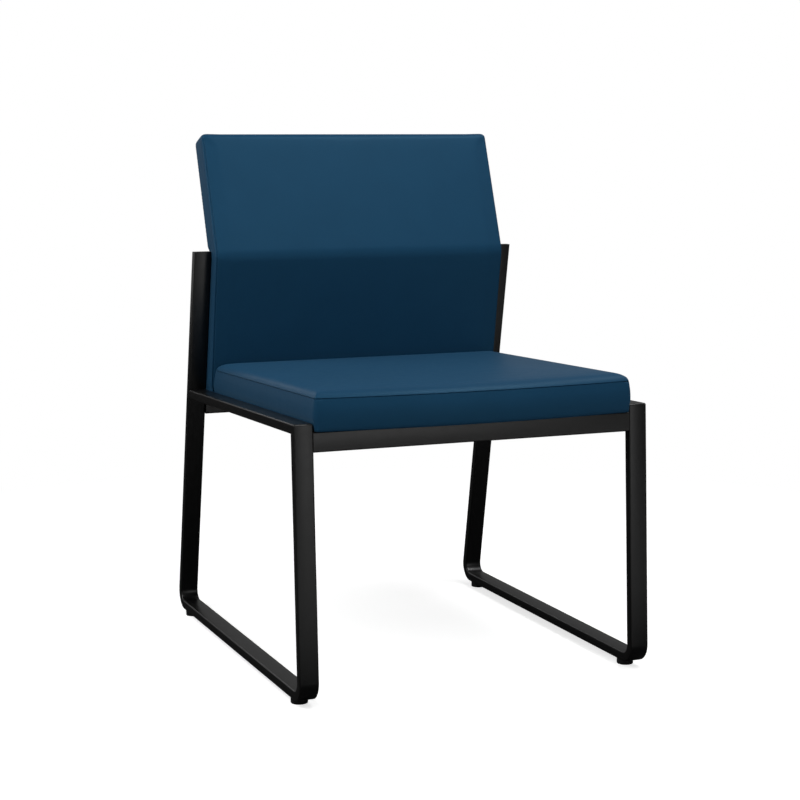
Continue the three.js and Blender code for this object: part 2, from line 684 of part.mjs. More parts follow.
function backFoamGeometry() {
  const setback = BACK_BOARD.setback - GAP;
  const room = backLayer(BACK_HALF_WIDTH - setback, setback, BACK_FOAM_DEPTH, BACK_THICKNESS + 5);
  const pockets = eachBackBracket((sign, run) => inLowerHalf(
    hole(9.7, sign * BACK_SCREW_X, run, -BACK_BOARD.front, -BACK_FOAM_DEPTH + 1.6)));
  return cut(backForm(COVER_THICKNESS + GAP), [room, ...pockets, ...bracketRooms()]);
}

function rearPadGeometry() {
  const pad = backLayer(BACK_HALF_WIDTH - REAR_PAD.setback, REAR_PAD.setback,
    plateFront, REAR_PAD.rear);
  const pockets = eachBackBracket((sign, run) => inLowerHalf(
    hole(7, sign * BACK_SCREW_X, run, -BACK_THICKNESS, -plateFront)));
  return cut(pad, [...bracketRooms(), ...pockets]);
}

function backCoverGeometry() {
  return cut(backForm(0), [backForm(COVER_THICKNESS), ...bracketRooms()]);
}

function buildBack() {
  const group = new THREE.Group();
  group.add(part('back_cover', backCoverGeometry(), finish.vinyl));
  group.add(part('back_foam', backFoamGeometry(), finish.foam));
  group.add(part('back_board', backBoardGeometry(), finish.plywood));
  group.add(part('back_rear_pad', rearPadGeometry(), finish.foam));
  eachBackBracket((sign, run, place) => {
    const plate = cut(backPlate(sign, run, 0),
      [hole(CLEARANCE_HOLE, sign * BACK_SCREW_X, run, -plateRear - 1, -plateFront + 1)]);
    const bracket = part(`back_bracket_${place}`, plate, finish.powderCoat);
    const nut = part(`back_tee_nut_${place}`, teeNutGeometry(), finish.zinc);
    const screw = part(`back_screw_${place}`, screwGeometry(), finish.zinc);
    nut.position.set(sign * BACK_SCREW_X, run, -BACK_BOARD.front + GAP);
    screw.position.set(sign * BACK_SCREW_X, run, -plateRear - GAP);
    lowerHalf.add(bracket, nut, screw);
  });
  group.add(lowerHalf);
  return group;
}

const chair = new THREE.Group();
for (const side of Object.keys(sides)) chair.add(buildSide(side));
chair.add(buildSeat(), buildBack());

// The pad's bow stands forward of the frame, so the outer box's middle lies forward of its.
chair.position.y = FRAME_SETBACK;

export default chair;
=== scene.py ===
"""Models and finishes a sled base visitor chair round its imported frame.

Every size is in metres, in the frame's own axes: +X to the right of the picture, +Y towards
the chair's back and +Z up, with the floor at zero.
"""
import json
import math
from contextlib import contextmanager

import bmesh
import bpy
from bpy.props import FloatProperty, FloatVectorProperty, PointerProperty
from mathutils import Matrix, Vector


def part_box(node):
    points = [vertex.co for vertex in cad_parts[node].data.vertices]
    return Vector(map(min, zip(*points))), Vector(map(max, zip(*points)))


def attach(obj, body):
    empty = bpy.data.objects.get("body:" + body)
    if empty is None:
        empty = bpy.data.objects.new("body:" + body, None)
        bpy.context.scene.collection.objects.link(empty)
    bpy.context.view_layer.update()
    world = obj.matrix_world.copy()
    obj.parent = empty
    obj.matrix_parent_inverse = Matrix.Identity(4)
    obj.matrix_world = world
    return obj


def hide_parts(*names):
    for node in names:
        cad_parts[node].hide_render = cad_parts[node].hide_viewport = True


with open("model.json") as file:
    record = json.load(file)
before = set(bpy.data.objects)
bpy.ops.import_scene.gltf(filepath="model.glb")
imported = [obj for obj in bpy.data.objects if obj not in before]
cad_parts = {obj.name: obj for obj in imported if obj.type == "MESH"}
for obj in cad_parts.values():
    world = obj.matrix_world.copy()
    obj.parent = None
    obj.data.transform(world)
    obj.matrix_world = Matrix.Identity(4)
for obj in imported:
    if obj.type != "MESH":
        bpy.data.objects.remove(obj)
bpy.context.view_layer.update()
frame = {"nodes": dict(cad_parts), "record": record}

bl_info = {
    "name": "Sled Base Visitor Chair",
    "version": (1, 0, 0),
    "blender": (4, 5, 0),
    "location": "View3D > Sidebar > Chair",
    "description": "Models and finishes a sled base visitor chair round its packed frame",
    "category": "Add Mesh",
}

BODY = "root"
SIDES = ("left", "right")
PLACES = ("front", "rear")

# Steel tube
TUBE_DEPTH = 0.015
TUBE_CORNER = 0.0021
MITRE_ROUND = 0.003  # radius of the edge over a front leg
MITRE_LOOPS = (0, 9, 18, 27, 36)  # degrees from where that edge starts to round
BEND_RADIUS = 0.022  # of the tube's centre line
BEND_STEPS = 20
GROUND_EDGE = 0.0003  # chamfer left where the post's weld is ground flush
SHARP_EDGE = math.radians(40)  # least angle of an edge that gets that chamfer
SQUARE_ON = 0.99  # least cosine at which a face counts as square to an axis
POST_LEAN = math.radians(10.83)
LEG_LEAN = math.radians(2.98)
SEAT_SLOPE = math.radians(1.85)
# The ways out of a front leg's face and of a seat rail's top face
LEG_OUT = Vector((0, -math.cos(LEG_LEAN), math.sin(LEG_LEAN)))
RAIL_OUT = Vector((0, math.sin(SEAT_SLOPE), math.cos(SEAT_SLOPE)))

# Studio
FLOOR_GLOW = 0.7  # light of its own that the floor shows the camera
FLOOR_RETURN_WITH_PAINTED_SHADE = {"ahead": 0.7, "under": 0.05}  # share of the light that it throws back; the low share under the chair is painted shade for the seat's shadow
FLOOR_AHEAD = (-0.45, -1.2)  # from where to where it goes from the painted shade to the full return
FLOOR_SIZE = 40
FLOOR_REACH = 1.6  # radius round the chair past which the floor is plain white
FLOOR_FADE = 0.4  # share of that radius over which it turns so
PICTURE_WIDTH = 800
SENSOR_WIDTH = 36


class FinishSettings(bpy.types.PropertyGroup):
    vinyl_colour: FloatVectorProperty(
        name="Vinyl", description="Colour of the upholstery vinyl",
        subtype="COLOR", size=3, min=0, max=1, default=(0.0095, 0.050, 0.106))
    coat_colour: FloatVectorProperty(
        name="Powder coat", description="Colour of the frame's powder coat",
        subtype="COLOR", size=3, min=0, max=1, default=(0.002, 0.002, 0.0021))
    grain: FloatProperty(
        name="Grain", description="Width of the cells in the vinyl's grain",
        subtype="DISTANCE", unit="LENGTH", default=0.0011, min=0.0002)


class SeatSettings(bpy.types.PropertyGroup):
    seam_height: FloatProperty(
        name="Seam height", description="Height of the seam over the cross rails",
        subtype="DISTANCE", unit="LENGTH", default=0.0484)
    shoulder: FloatProperty(
        name="Shoulder", description="Size of the round edge over the seam",
        subtype="DISTANCE", unit="LENGTH", default=0.0116)
    crown: FloatProperty(
        name="Crown", description="How far the middle of the top stands over its edges",
        subtype="DISTANCE", unit="LENGTH", default=0.005)
    bow: FloatProperty(
        name="Bow", description="How far the middle of the front edge stands forward",
        subtype="DISTANCE", unit="LENGTH", default=0.023)
    swell: FloatProperty(
        name="Swell", description="How far the foam may push the cover out",
        subtype="DISTANCE", unit="LENGTH", default=0.0012)


class BackSettings(bpy.types.PropertyGroup):
    thickness: FloatProperty(
        name="Thickness", description="Depth of the padded back, square to its face",
        subtype="DISTANCE", unit="LENGTH", default=0.047)
    bend_radius: FloatProperty(
        name="Bend radius", description="Radius of the bend in the front face",
        subtype="DISTANCE", unit="LENGTH", default=0.04)
    swell: FloatProperty(
        name="Swell", description="How far the foam may push the cover out",
        subtype="DISTANCE", unit="LENGTH", default=0.001)


class StudioSettings(bpy.types.PropertyGroup):
    camera_place: FloatVectorProperty(
        name="Camera place", description="Where the camera stands",
        subtype="TRANSLATION", unit="LENGTH", size=3, default=(-1.16998, -2.81989, 0.83813))
    camera_turn: FloatProperty(
        name="Camera turn", description="Direction of view, clockwise from +Y",
        subtype="ANGLE", unit="ROTATION", default=math.radians(22.496))
    camera_dip: FloatProperty(
        name="Camera dip", description="Direction of view, down from level",
        subtype="ANGLE", unit="ROTATION", default=math.radians(8.133))
    focal_pixels: FloatProperty(
        name="Focal length", description="Focal length in pixels of an 800 pixel picture",
        default=1887.39)


def settings(name):
    return getattr(bpy.context.scene, f"chair_{name}")


# Modelling by hand

def on_its_own(piece):
    """Makes a piece the only selected object, and the active one."""
    for other in bpy.context.selected_objects:
        other.select_set(False)
    piece.select_set(True)
    bpy.context.view_layer.objects.active = piece


def started(name):
    """Names the primitive that was just added."""
    piece = bpy.context.object
    piece.name = piece.data.name = name
    on_its_own(piece)
    return piece


@contextmanager
def editing(piece):
    """Edit mode on one piece, all of it selected at first."""
    on_its_own(piece)
    bpy.ops.object.mode_set(mode="EDIT")
    bpy.ops.mesh.select_all(action="SELECT")
    yield
    bpy.ops.object.mode_set(mode="OBJECT")


def middle(element):
    """Middle point of an edge or a face."""
    if isinstance(element, bmesh.types.BMEdge):
        return (element.verts[0].co + element.verts[1].co) / 2
    return element.calc_center_median()


def pick(kind, test):
    """Selects the "verts", "edges" or "faces" that pass a test, and nothing else."""
    bpy.ops.mesh.select_mode(type=kind[:-1].upper())
    bpy.ops.mesh.select_all(action="DESELECT")
    mesh = bmesh.from_edit_mesh(bpy.context.edit_object.data)
    for element in getattr(mesh, kind):
        if test(element):
            element.select_set(True)
    mesh.select_flush_mode()
    bmesh.update_edit_mesh(bpy.context.edit_object.data)


def extrude(x=0, y=0, z=0):
    bpy.ops.mesh.extrude_region_move(TRANSFORM_OT_translate={"value": (x, y, z)})


def move(x=0, y=0, z=0):
    bpy.ops.transform.translate(value=(x, y, z))


def cut_off(point, normal):
    """Cuts away all that lies past a plane, on the side its normal points to."""
    bpy.ops.mesh.select_all(action="SELECT")
    bpy.ops.mesh.bisect(plane_co=point, plane_no=normal, use_fill=True, clear_outer=True)


def score(point, normal):
    """Cuts a loop of edges round the piece where a plane passes, and leaves it selected."""
    bpy.ops.mesh.select_all(action="SELECT")
    bpy.ops.mesh.bisect(plane_co=point, plane_no=normal)


def place(piece, matrix):
    """Moves a piece by a matrix, and leaves its object at the origin."""
    on_its_own(piece)
    piece.matrix_world = matrix
    bpy.ops.object.transform_apply(location=True, rotation=True, scale=True)


def face_outwards(piece):
    with editing(piece):
        bpy.ops.mesh.normals_make_consistent(inside=False)


def reshape(piece, rule):
    """Moves every vertex of a piece to where a rule puts it."""
    for vertex in piece.data.vertices:
        vertex.co = rule(vertex.co)


def smooth(piece, degrees):
    on_its_own(piece)
    bpy.ops.object.shade_smooth_by_angle(angle=math.radians(degrees))


def apply_modifier(piece, kind, **values):
    on_its_own(piece)
    modifier = piece.modifiers.new(kind.title(), kind)
    for name, value in values.items():
        setattr(modifier, name, value)
    bpy.ops.object.modifier_apply(modifier=modifier.name)


def hand_over(piece, slot, *nodes):
    """Finishes a piece: gives it the material of its slot, hides the parts it stands for and
    hangs it on the body it rides on.
    """
    piece.data.materials.clear()
    piece.data.materials.append(look_of(slot))
    if nodes:
        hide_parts(*nodes)
    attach(piece, BODY)


# Materials

def new_look(name, values):
    """A new material whose Principled shader has the given input values."""
    look = bpy.data.materials.new(name)
    look.use_nodes = True
    for key, value in values.items():
        surface(look, key).default_value = value
    return look


def surface(look, name):
    """One input of a material's Principled shader."""
    return look.node_tree.nodes["Principled BSDF"].inputs[name]


def texture(look, kind, **inputs):
    """A texture node on object coordinates, which are metres on the chair."""
    nodes = look.node_tree.nodes
    coordinates = nodes.get("Coordinates")
    if coordinates is None:
        coordinates = nodes.new("ShaderNodeTexCoord")
        coordinates.name = "Coordinates"
    node = nodes.new(f"ShaderNodeTex{kind}")
    for name, value in inputs.items():
        node.inputs[name].default_value = value
    look.node_tree.links.new(coordinates.outputs["Object"], node.inputs["Vector"])
    return node


def ranged(look, source, low, high, start=0, end=1):
    """Brings a value that goes from a start to an end between two others."""
    node = look.node_tree.nodes.new("ShaderNodeMapRange")
    node.inputs["From Min"].default_value = start
    node.inputs["From Max"].default_value = end
    node.inputs["To Min"].default_value = low
    node.inputs["To Max"].default_value = high
    look.node_tree.links.new(source, node.inputs["Value"])
    return node.outputs["Result"]


def tinted(look, source, low, high):
    """A colour between two others, by a 0 to 1 value."""
    ramp = look.node_tree.nodes.new("ShaderNodeValToRGB")
    ramp.color_ramp.elements[0].color = (*low, 1)
    ramp.color_ramp.elements[1].color = (*high, 1)
    look.node_tree.links.new(source, ramp.inputs["Fac"])
    return ramp.outputs["Color"]


def colour(look, source, low, high):
    """Colours the surface between two colours, by a 0 to 1 value."""
    look.node_tree.links.new(tinted(look, source, low, high), surface(look, "Base Color"))


def roughen(look, source, low, high):
    """Makes the surface's roughness go between two others, by a 0 to 1 value."""
    look.node_tree.links.new(ranged(look, source, low, high), surface(look, "Roughness"))


def emboss(look, height, distance, strength):
    """Adds a relief to the surface, over the one that it already has."""
    links = look.node_tree.links
    normal = surface(look, "Normal")
    bump = look.node_tree.nodes.new("ShaderNodeBump")
    bump.inputs["Distance"].default_value = distance
    bump.inputs["Strength"].default_value = strength
    links.new(height, bump.inputs["Height"])
    if normal.is_linked:
        links.new(normal.links[0].from_socket, bump.inputs["Normal"])
    links.new(bump.outputs["Normal"], normal)


def computed(tree, operation, *inputs):
    """The value of a math node whose inputs are other nodes' values and numbers."""
    node = tree.nodes.new("ShaderNodeMath")
    node.operation = operation
    for socket, value in zip(node.inputs, inputs):
        if isinstance(value, bpy.types.NodeSocket):
            tree.links.new(value, socket)
        else:
            socket.default_value = value
    return node.outputs["Value"]


def scaled(tone, factor):
    return tuple(channel * factor for channel in tone)


def vinyl_look():
    """Smooth coated upholstery vinyl with a fine pebble grain."""
    finish = settings("finish")
    look = new_look("blue vinyl", {
        "Specular IOR Level": 0.15, "Specular Tint": (0.25, 0.7, 1, 1),
        "Sheen Weight": 0.1, "Sheen Roughness": 0.5, "Sheen Tint": (0.3, 0.65, 1, 1)})
    cloud = texture(look, "Noise", Scale=14, Detail=3, Roughness=0.6)
    colour(look, cloud.outputs["Fac"], low=scaled(finish.vinyl_colour, 0.93),
           high=scaled(finish.vinyl_colour, 1.07))
    worn = texture(look, "Noise", Scale=60, Detail=4, Roughness=0.65)
    roughen(look, worn.outputs["Fac"], low=0.4, high=0.48)
    pebbles = texture(look, "Voronoi", Scale=1 / finish.grain, Randomness=0.9)
    pebbles.feature = "SMOOTH_F1"
    emboss(look, pebbles.outputs["Distance"], distance=0.00006, strength=0.35)
    creases = texture(look, "Noise", Scale=420, Detail=2, Roughness=0.5, Distortion=0.8)
    emboss(look, creases.outputs["Fac"], distance=0.00005, strength=0.3)
    return look


def powder_coat_look():
    """Semi-gloss black powder coat with a fine orange peel."""
    coat = settings("finish").coat_colour
    look = new_look("black powder coat", {"Specular IOR Level": 0.5})
    cloud = texture(look, "Noise", Scale=30, Detail=2)
    colour(look, cloud.outputs["Fac"], low=scaled(coat, 0.85), high=scaled(coat, 1.15))
    patches = texture(look, "Noise", Scale=85, Detail=3)
    roughen(look, patches.outputs["Fac"], low=0.27, high=0.36)
    peel = texture(look, "Noise", Scale=1400, Detail=1)
    emboss(look, peel.outputs["Fac"], distance=0.00004, strength=0.3)
    return look


def plywood_look():
    """Birch plywood: pale face grain, with the plies as darker lines on the edges."""
    look = new_look("birch plywood", {"Roughness": 0.62})
    grain = texture(look, "Noise", Scale=9, Detail=8, Roughness=0.7, Distortion=1.5)
    plies = texture(look, "Wave", Scale=110, Distortion=0.6)
    plies.bands_direction = "Z"
    both = computed(look.node_tree, "MULTIPLY", grain.outputs["Fac"], plies.outputs["Fac"])
    colour(look, both, low=(0.28, 0.17, 0.08), high=(0.62, 0.45, 0.27))
    emboss(look, grain.outputs["Fac"], distance=0.0002, strength=0.2)
    return look


def zinc_look():
    """Bright zinc plate, a little uneven."""
    look = new_look("zinc plate", {"Metallic": 1})
    cloud = texture(look, "Noise", Scale=180, Detail=4)
    colour(look, cloud.outputs["Fac"], low=(0.46, 0.47, 0.48), high=(0.66, 0.66, 0.63))
    roughen(look, cloud.outputs["Fac"], low=0.22, high=0.4)
    return look


def nylon_look():
    """Moulded black nylon with a dull skin."""
    look = new_look("black nylon", {})
    cloud = texture(look, "Noise", Scale=240, Detail=3)
    colour(look, cloud.outputs["Fac"], low=(0.008, 0.008, 0.009), high=(0.014, 0.014, 0.015))
    roughen(look, cloud.outputs["Fac"], low=0.45, high=0.6)
    emboss(look, cloud.outputs["Fac"], distance=0.00005, strength=0.3)
    return look


def lining_look():
    """Black spun lining cloth with pressed dimples."""
    look = new_look("black lining cloth", {"Roughness": 0.92})
    fibres = texture(look, "Noise", Scale=900, Detail=6, Roughness=0.8, Distortion=2)
    colour(look, fibres.outputs["Fac"], low=(0.006, 0.006, 0.007), high=(0.03, 0.03, 0.032))
    dimples = texture(look, "Voronoi", Scale=420, Randomness=0.15)
    emboss(look, dimples.outputs["Distance"], distance=0.0002, strength=0.5)
    return look


def foam_look():
    """Cream open cell foam."""
    look = new_look("cream foam", {"Roughness": 0.95})
    cells = texture(look, "Voronoi", Scale=900)
    colour(look, cells.outputs["Distance"], low=(0.7, 0.64, 0.48), high=(0.86, 0.82, 0.7))
    emboss(look, cells.outputs["Distance"], distance=0.0004, strength=0.6)
    return look


LOOKS = {
    "frame": powder_coat_look, "upholstery": vinyl_look, "foam": foam_look,
    "board": plywood_look, "fastener": zinc_look, "glide": nylon_look, "lining": lining_look,
}


def look_of(slot):
    """The material of one of the record's slots, made once."""
    made = bpy.context.scene.get("chair_looks", {})
    name = made.get(slot)
    if name is None:
        name = LOOKS[slot]().name
        bpy.context.scene["chair_looks"] = {**made, slot: name}
    return bpy.data.materials[name]


# Steel frame

def tube_section(width, depth):
    """Draws the tube's rounded section, facing along Y, in the piece being edited."""
    bpy.ops.transform.resize(value=(width, depth, 1))
    bpy.ops.mesh.select_mode(type="VERT")
    bpy.ops.mesh.bevel(offset=TUBE_CORNER, segments=4, affect="VERTICES")
    bpy.ops.transform.rotate(value=math.pi / 2, orient_axis="X", center_override=(0, 0, 0))


def facing_along_y(face):
    return abs(face.normal.y) > SQUARE_ON


def bend(centre, turn):
    """Spins the selected end of a tube about a line along X, from +Y towards +Z."""
    bpy.ops.mesh.spin(steps=BEND_STEPS, angle=-turn, center=centre, axis=(1, 0, 0))


def ease_rear_end(piece):
    """Chamfers the sharp edges round a tube's end at the rear of the chair."""
    with editing(piece):
        pick("edges", lambda edge: edge.is_manifold and middle(edge).y > 0
             and edge.calc_face_angle(0) > SHARP_EDGE)
        bpy.ops.mesh.bevel(offset=GROUND_EDGE, segments=2, affect="EDGES", clamp_overlap=True)


def mitre_plane(side):
    """A point and the normal of the mitre over a front leg. The normal points at the rail."""
    low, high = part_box(f"{side}_seat_rail")
    corner = Vector(((low.x + high.x) / 2, low.y, high.z))
    leg_up = Vector((0, math.sin(LEG_LEAN), math.cos(LEG_LEAN)))
    rail_back = Vector((0, math.cos(SEAT_SLOPE), -math.sin(SEAT_SLOPE)))
    return corner, (leg_up + rail_back).normalized()


def rounded_mitre(side):
    """Makes a rule that rounds the edge where a front leg's face meets its rail's top face."""
    corner = mitre_plane(side)[0]

    def rule(point):
        behind = MITRE_ROUND - (corner - point).dot(LEG_OUT)
        below = MITRE_ROUND - (corner - point).dot(RAIL_OUT)
        if min(behind, below) <= 0:
            return point
        pull = max(behind, below) / math.hypot(behind, below) - 1
        return point + (LEG_OUT * behind + RAIL_OUT * below) * pull

    return rule


def score_mitre(side, across):
    """Cuts the loops that the rounded edge over a front leg needs, each across a direction."""
    corner = mitre_plane(side)[0]
    for degrees in MITRE_LOOPS:
        depth = MITRE_ROUND * (1 - math.tan(math.radians(degrees)))
        score(corner - across * depth, across)


def side_tube(side):
    """One bar up the front leg, along the floor and up the post, its top closed and ground."""
    low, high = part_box(f"{side}_side_tube")
    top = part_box(f"{side}_post_end_plate")[1].z
    x = (low.x + high.x) / 2
    floor_z = low.z + TUBE_DEPTH / 2
    reach = BEND_RADIUS + TUBE_DEPTH / 2
    bpy.ops.mesh.primitive_plane_add(size=1)
    piece = started(f"{side}_side_loop")
    with editing(piece):
        tube_section(high.x - low.x, TUBE_DEPTH)
        move(x, 0, floor_z)
        for end, lean, way in ((low.y + reach, LEG_LEAN, -1), (high.y - reach, POST_LEAN, 1)):
            pick("faces", lambda face: facing_along_y(face) and abs(middle(face).y) < TUBE_CORNER)
            extrude(y=end)
            bend((x, end, floor_z + BEND_RADIUS), way * (math.pi / 2 + lean))
            extrude(y=-way * math.sin(lean) * top, z=math.cos(lean) * top)
            if way < 0:
                cut_off(*mitre_plane(side))
            else:
                cut_off((x, 0, top), (0, 0, 1))
        score_mitre(side, RAIL_OUT)
    reshape(piece, rounded_mitre(side))
    face_outwards(piece)
    ease_rear_end(piece)
    smooth(piece, degrees=35)
    hand_over(piece, "frame", f"{side}_side_tube", f"{side}_post_end_plate")


def seat_rail(side):
    """The rail from the mitre to the front of the post."""
    low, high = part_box(f"{side}_seat_rail")
    corner, mitre = mitre_plane(side)
    spare = 2 * TUBE_DEPTH
    bpy.ops.mesh.primitive_plane_add(size=1)
    piece = started(f"{side}_side_rail")
    with editing(piece):
        tube_section(high.x - low.x, TUBE_DEPTH)
        move(z=-TUBE_DEPTH / 2, y=-spare)
        extrude(y=high.y - low.y + 2 * spare)
    place(piece, Matrix.Translation(corner) @ Matrix.Rotation(-SEAT_SLOPE, 4, "X"))
    with editing(piece):
        cut_off(corner, -mitre)
        post_face = Vector((corner.x, high.y, low.z + TUBE_DEPTH))
        cut_off(post_face, (0, math.cos(POST_LEAN), math.sin(POST_LEAN)))
        score_mitre(side, LEG_OUT)
    reshape(piece, rounded_mitre(side))
    face_outwards(piece)
    ease_rear_end(piece)
    smooth(piece, degrees=35)
    hand_over(piece, "frame", f"{side}_seat_rail")


def seat_matrix():
    """The seat's own frame: on the front cross rail's top face, sloping with the seat."""
    low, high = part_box("front_cross_rail")
    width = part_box("left_side_tube")[1].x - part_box("left_side_tube")[0].x
    ahead = (high.y - low.y) / 2
    y = low.y + ahead + width / 2 * math.sin(SEAT_SLOPE)
    top = high.z - TUBE_DEPTH / 2 * math.sin(SEAT_SLOPE)
    return Matrix.Translation((0, y, top)) @ Matrix.Rotation(-SEAT_SLOPE, 4, "X")


def cross_rail(end):
    """A tube on edge between the side loops."""
    low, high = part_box(f"{end}_cross_rail")
    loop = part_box("right_side_tube")
    inner = loop[0].x
    width = loop[1].x - loop[0].x
    bpy.ops.mesh.primitive_plane_add(size=1)
    piece = started(f"{end}_rail")
    with editing(piece):
        tube_section(TUBE_DEPTH, width)
        bpy.ops.transform.rotate(value=math.pi / 2, orient_axis="Z", center_override=(0, 0, 0))
        move(x=-inner)
        extrude(x=2 * inner)
    face_outwards(piece)
    place(piece, Matrix.Translation((low + high) / 2) @ Matrix.Rotation(-SEAT_SLOPE, 4, "X"))
    smooth(piece, degrees=35)
    hand_over(piece, "frame", f"{end}_cross_rail")


# Glides

def glide_pattern():
    """A round nylon foot, centred on its axis, with the hole for its screw."""
    low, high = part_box("glide_front_left")
    radius = (high.x - low.x) / 2
    height = high.z - low.z
    foot_edge = 0.0016
    hole_radius = 0.0064
    hole_depth = 0.0043
    bpy.ops.mesh.primitive_cylinder_add(vertices=64, radius=radius, depth=height,
                                        location=(0, 0, low.z + height / 2))
    piece = started("glide_pattern")
    bpy.ops.object.transform_apply(location=True)
    with editing(piece):
        pick("edges", lambda edge: middle(edge).z < low.z + foot_edge / 2
             and abs(edge.verts[0].co.z - edge.verts[1].co.z) < foot_edge / 2)
        bpy.ops.mesh.bevel(offset=foot_edge, segments=3, affect="EDGES")
        pick("faces", lambda face: face.normal.z < -SQUARE_ON)
        bpy.ops.mesh.inset(thickness=radius - foot_edge - hole_radius)
        extrude(z=hole_depth)
    smooth(piece, degrees=30)
    return piece


def glides():
    pattern = glide_pattern()
    for side in SIDES:
        for end in PLACES:
            node = f"glide_{end}_{side}"
            low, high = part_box(node)
            piece = bpy.data.objects.new(f"foot_{end}_{side}", pattern.data.copy())
            bpy.context.scene.collection.objects.link(piece)
            place(piece, Matrix.Translation(((low.x + high.x) / 2, (low.y + high.y) / 2, 0)))
            hand_over(piece, "glide", node)
    bpy.data.objects.remove(pattern)


# Soft pieces

PAD_MESH = 0.005  # size of a pad's faces before they are divided once more
CLOTH_STEPS = 20
CLOTH_QUALITY = 5
CLOTH_PRESSURE = 3


def swell(piece, cap, held):
    """Blows a piece up a little as cloth. The held vertices stay, and none moves past the cap."""
    group = piece.vertex_groups.new(name="held")
    start = [vertex.co.copy() for vertex in piece.data.vertices]
    group.add([i for i, point in enumerate(start) if held(point)], 1, "REPLACE")
    cloth = piece.modifiers.new("Cloth", "CLOTH")
    cloth.settings.vertex_group_mass = group.name
    cloth.settings.use_pressure = True
    cloth.settings.uniform_pressure_force = CLOTH_PRESSURE
    cloth.settings.effector_weights.gravity = 0
    cloth.settings.quality = CLOTH_QUALITY
    scene = bpy.context.scene
    for number in range(1, CLOTH_STEPS + 1):
        scene.frame_set(number)
    on_its_own(piece)
    bpy.ops.object.modifier_apply(modifier=cloth.name)
    scene.frame_set(1)
    for vertex, before in zip(piece.data.vertices, start):
        way = vertex.co - before
        if way.length > cap:
            vertex.co = before + way * (cap / way.length)
    piece.vertex_groups.clear()


def sunk_seam(piece, height, width, depth, along=lambda point: True):
    """Sinks a sewn seam into a piece at a height, wherever the test allows."""
    with editing(piece):
        score((0, 0, height), (0, 0, 1))
        bpy.ops.mesh.bevel(offset=width, segments=2, affect="EDGES", clamp_overlap=True)
        pick("verts", lambda vertex: abs(vertex.co.z - height) < width / 8 and along(vertex.co))
        bpy.ops.transform.shrink_fatten(value=-depth)


# Puckers, the small folds across a sewn seam
PUCKER_PITCH = 0.0065
PUCKER_DEPTH = 0.00022
PUCKER_REACH = 0.006  # distance from the seam in which they fade
PUCKER_DRIFT = (1.9, 1.3)  # how far their spacing drifts, and how fast
PUCKER_UNEVEN = (0.4, 0.71)  # share by which their depth varies, and how fast


def pucker(piece, distance, along):
    """Draws small uneven folds across a sewn seam. They fade with the distance from it."""
    drift, drift_rate = PUCKER_DRIFT
    share, share_rate = PUCKER_UNEVEN
    normals = [vertex.normal.copy() for vertex in piece.data.vertices]
    for vertex, normal in zip(piece.data.vertices, normals):
        place_along = along(vertex.co) / PUCKER_PITCH
        fold = math.sin(2 * math.pi * place_along + drift * math.sin(drift_rate * place_along))
        uneven = 1 - share + share * math.sin(share_rate * place_along)
        fade = math.exp(-distance(vertex.co) / PUCKER_REACH)
        vertex.co += normal * PUCKER_DEPTH * fold * uneven * fade


def on_profile(rows, run):
    """The [inset, rise] of a point at a run along a profile given as [run, inset, rise] rows."""
    if run <= rows[0][0]:
        return rows[0][1:]
    for (run0, *start), (run1, *end) in zip(rows, rows[1:]):
        if run <= run1:
            share = (run - run0) / (run1 - run0)
            return [a + (b - a) * share for a, b in zip(start, end)]
    return rows[-1][1:]


def eased(start, end, value):
    """Goes smoothly from 0 at a start to 1 at an end."""
    share = min(1, max(0, (value - start) / (end - start)))
    return share * share * (3 - 2 * share)


def from_outline(x, y, half_x, half_y, radius):
    """How far inside a rounded rectangle a point lies, and the way out of it."""
    over_x = abs(x) - (half_x - radius)
    over_y = abs(y) - (half_y - radius)
    side_x = math.copysign(1, x)
    side_y = math.copysign(1, y)
    if over_x > 0 and over_y > 0:
        reach = math.hypot(over_x, over_y)
        return radius - reach, Vector((side_x * over_x / reach, side_y * over_y / reach))
    if over_x > over_y:
        return radius - over_x, Vector((side_x, 0))
    return radius - over_y, Vector((0, side_y))


def rounded_block(name, half_x, half_y, low, high, radius):
    """A block with upright rounded corners, in small even faces."""
    bpy.ops.mesh.primitive_cube_add(size=1)
    piece = started(name)
    with editing(piece):
        bpy.ops.transform.resize(value=(2 * half_x, 2 * half_y, high - low))
        move(z=(low + high) / 2)
        pick("edges", lambda edge: abs(edge.verts[0].co.z - edge.verts[1].co.z)
             > (high - low) / 2)
        bpy.ops.mesh.bevel(offset=radius, segments=6, affect="EDGES")
    apply_modifier(piece, "REMESH", mode="VOXEL", voxel_size=PAD_MESH, use_smooth_shade=True)
    return piece


# Seat. Its y and its height count from the middle of the front cross rail's top face
SEAT_FRONT = -0.0149
SEAT_REAR = 0.4886
SEAT_CORNER = 0.007
SEAT_BOW_FADE = 6  # power by which the front's bow fades towards the middle
SEAT_REAR_FADE = 4  # the same for the shape of the rear
SEAT_REAR_LEAN = 0.203
SEAT_REAR_ROLL = (0.35, 0.02)  # slope of the top's rear edge, and how far in it reaches
SEAT_HOLD = 0.004  # distance from a held line in which the cover can't swell
SEAT_SQUEEZE = 0.0017  # each side, where it lies between the side rails
SEAT_SQUEEZE_EASE = 0.003  # height in which that ends
RAILS_OVER = 0.0125  # height of the side rails' top faces over the cross rails
# Up the boxing, from its turned under edge to the seam: [run, inset, height]
BOXING = ((-0.041, 0.041, 0.0018), (-0.034, 0.034, 0.0018), (-0.030, 0.030, 0.0003),
          (-0.006, 0.006, 0.0002), (0, 0.0018, 0.0003),
          (0.004, 0.0013, 0.0040), (0.010, 0.0008, 0.010), (0.018, 0.0003, 0.018),
          (0.026, 0.0002, 0.026), (0.034, 0.0006, 0.034), (0.041, 0.0015, 0.0408),
          (0.0465, 0.0028, 0.0462))
SEAM_INSET = 0.0026
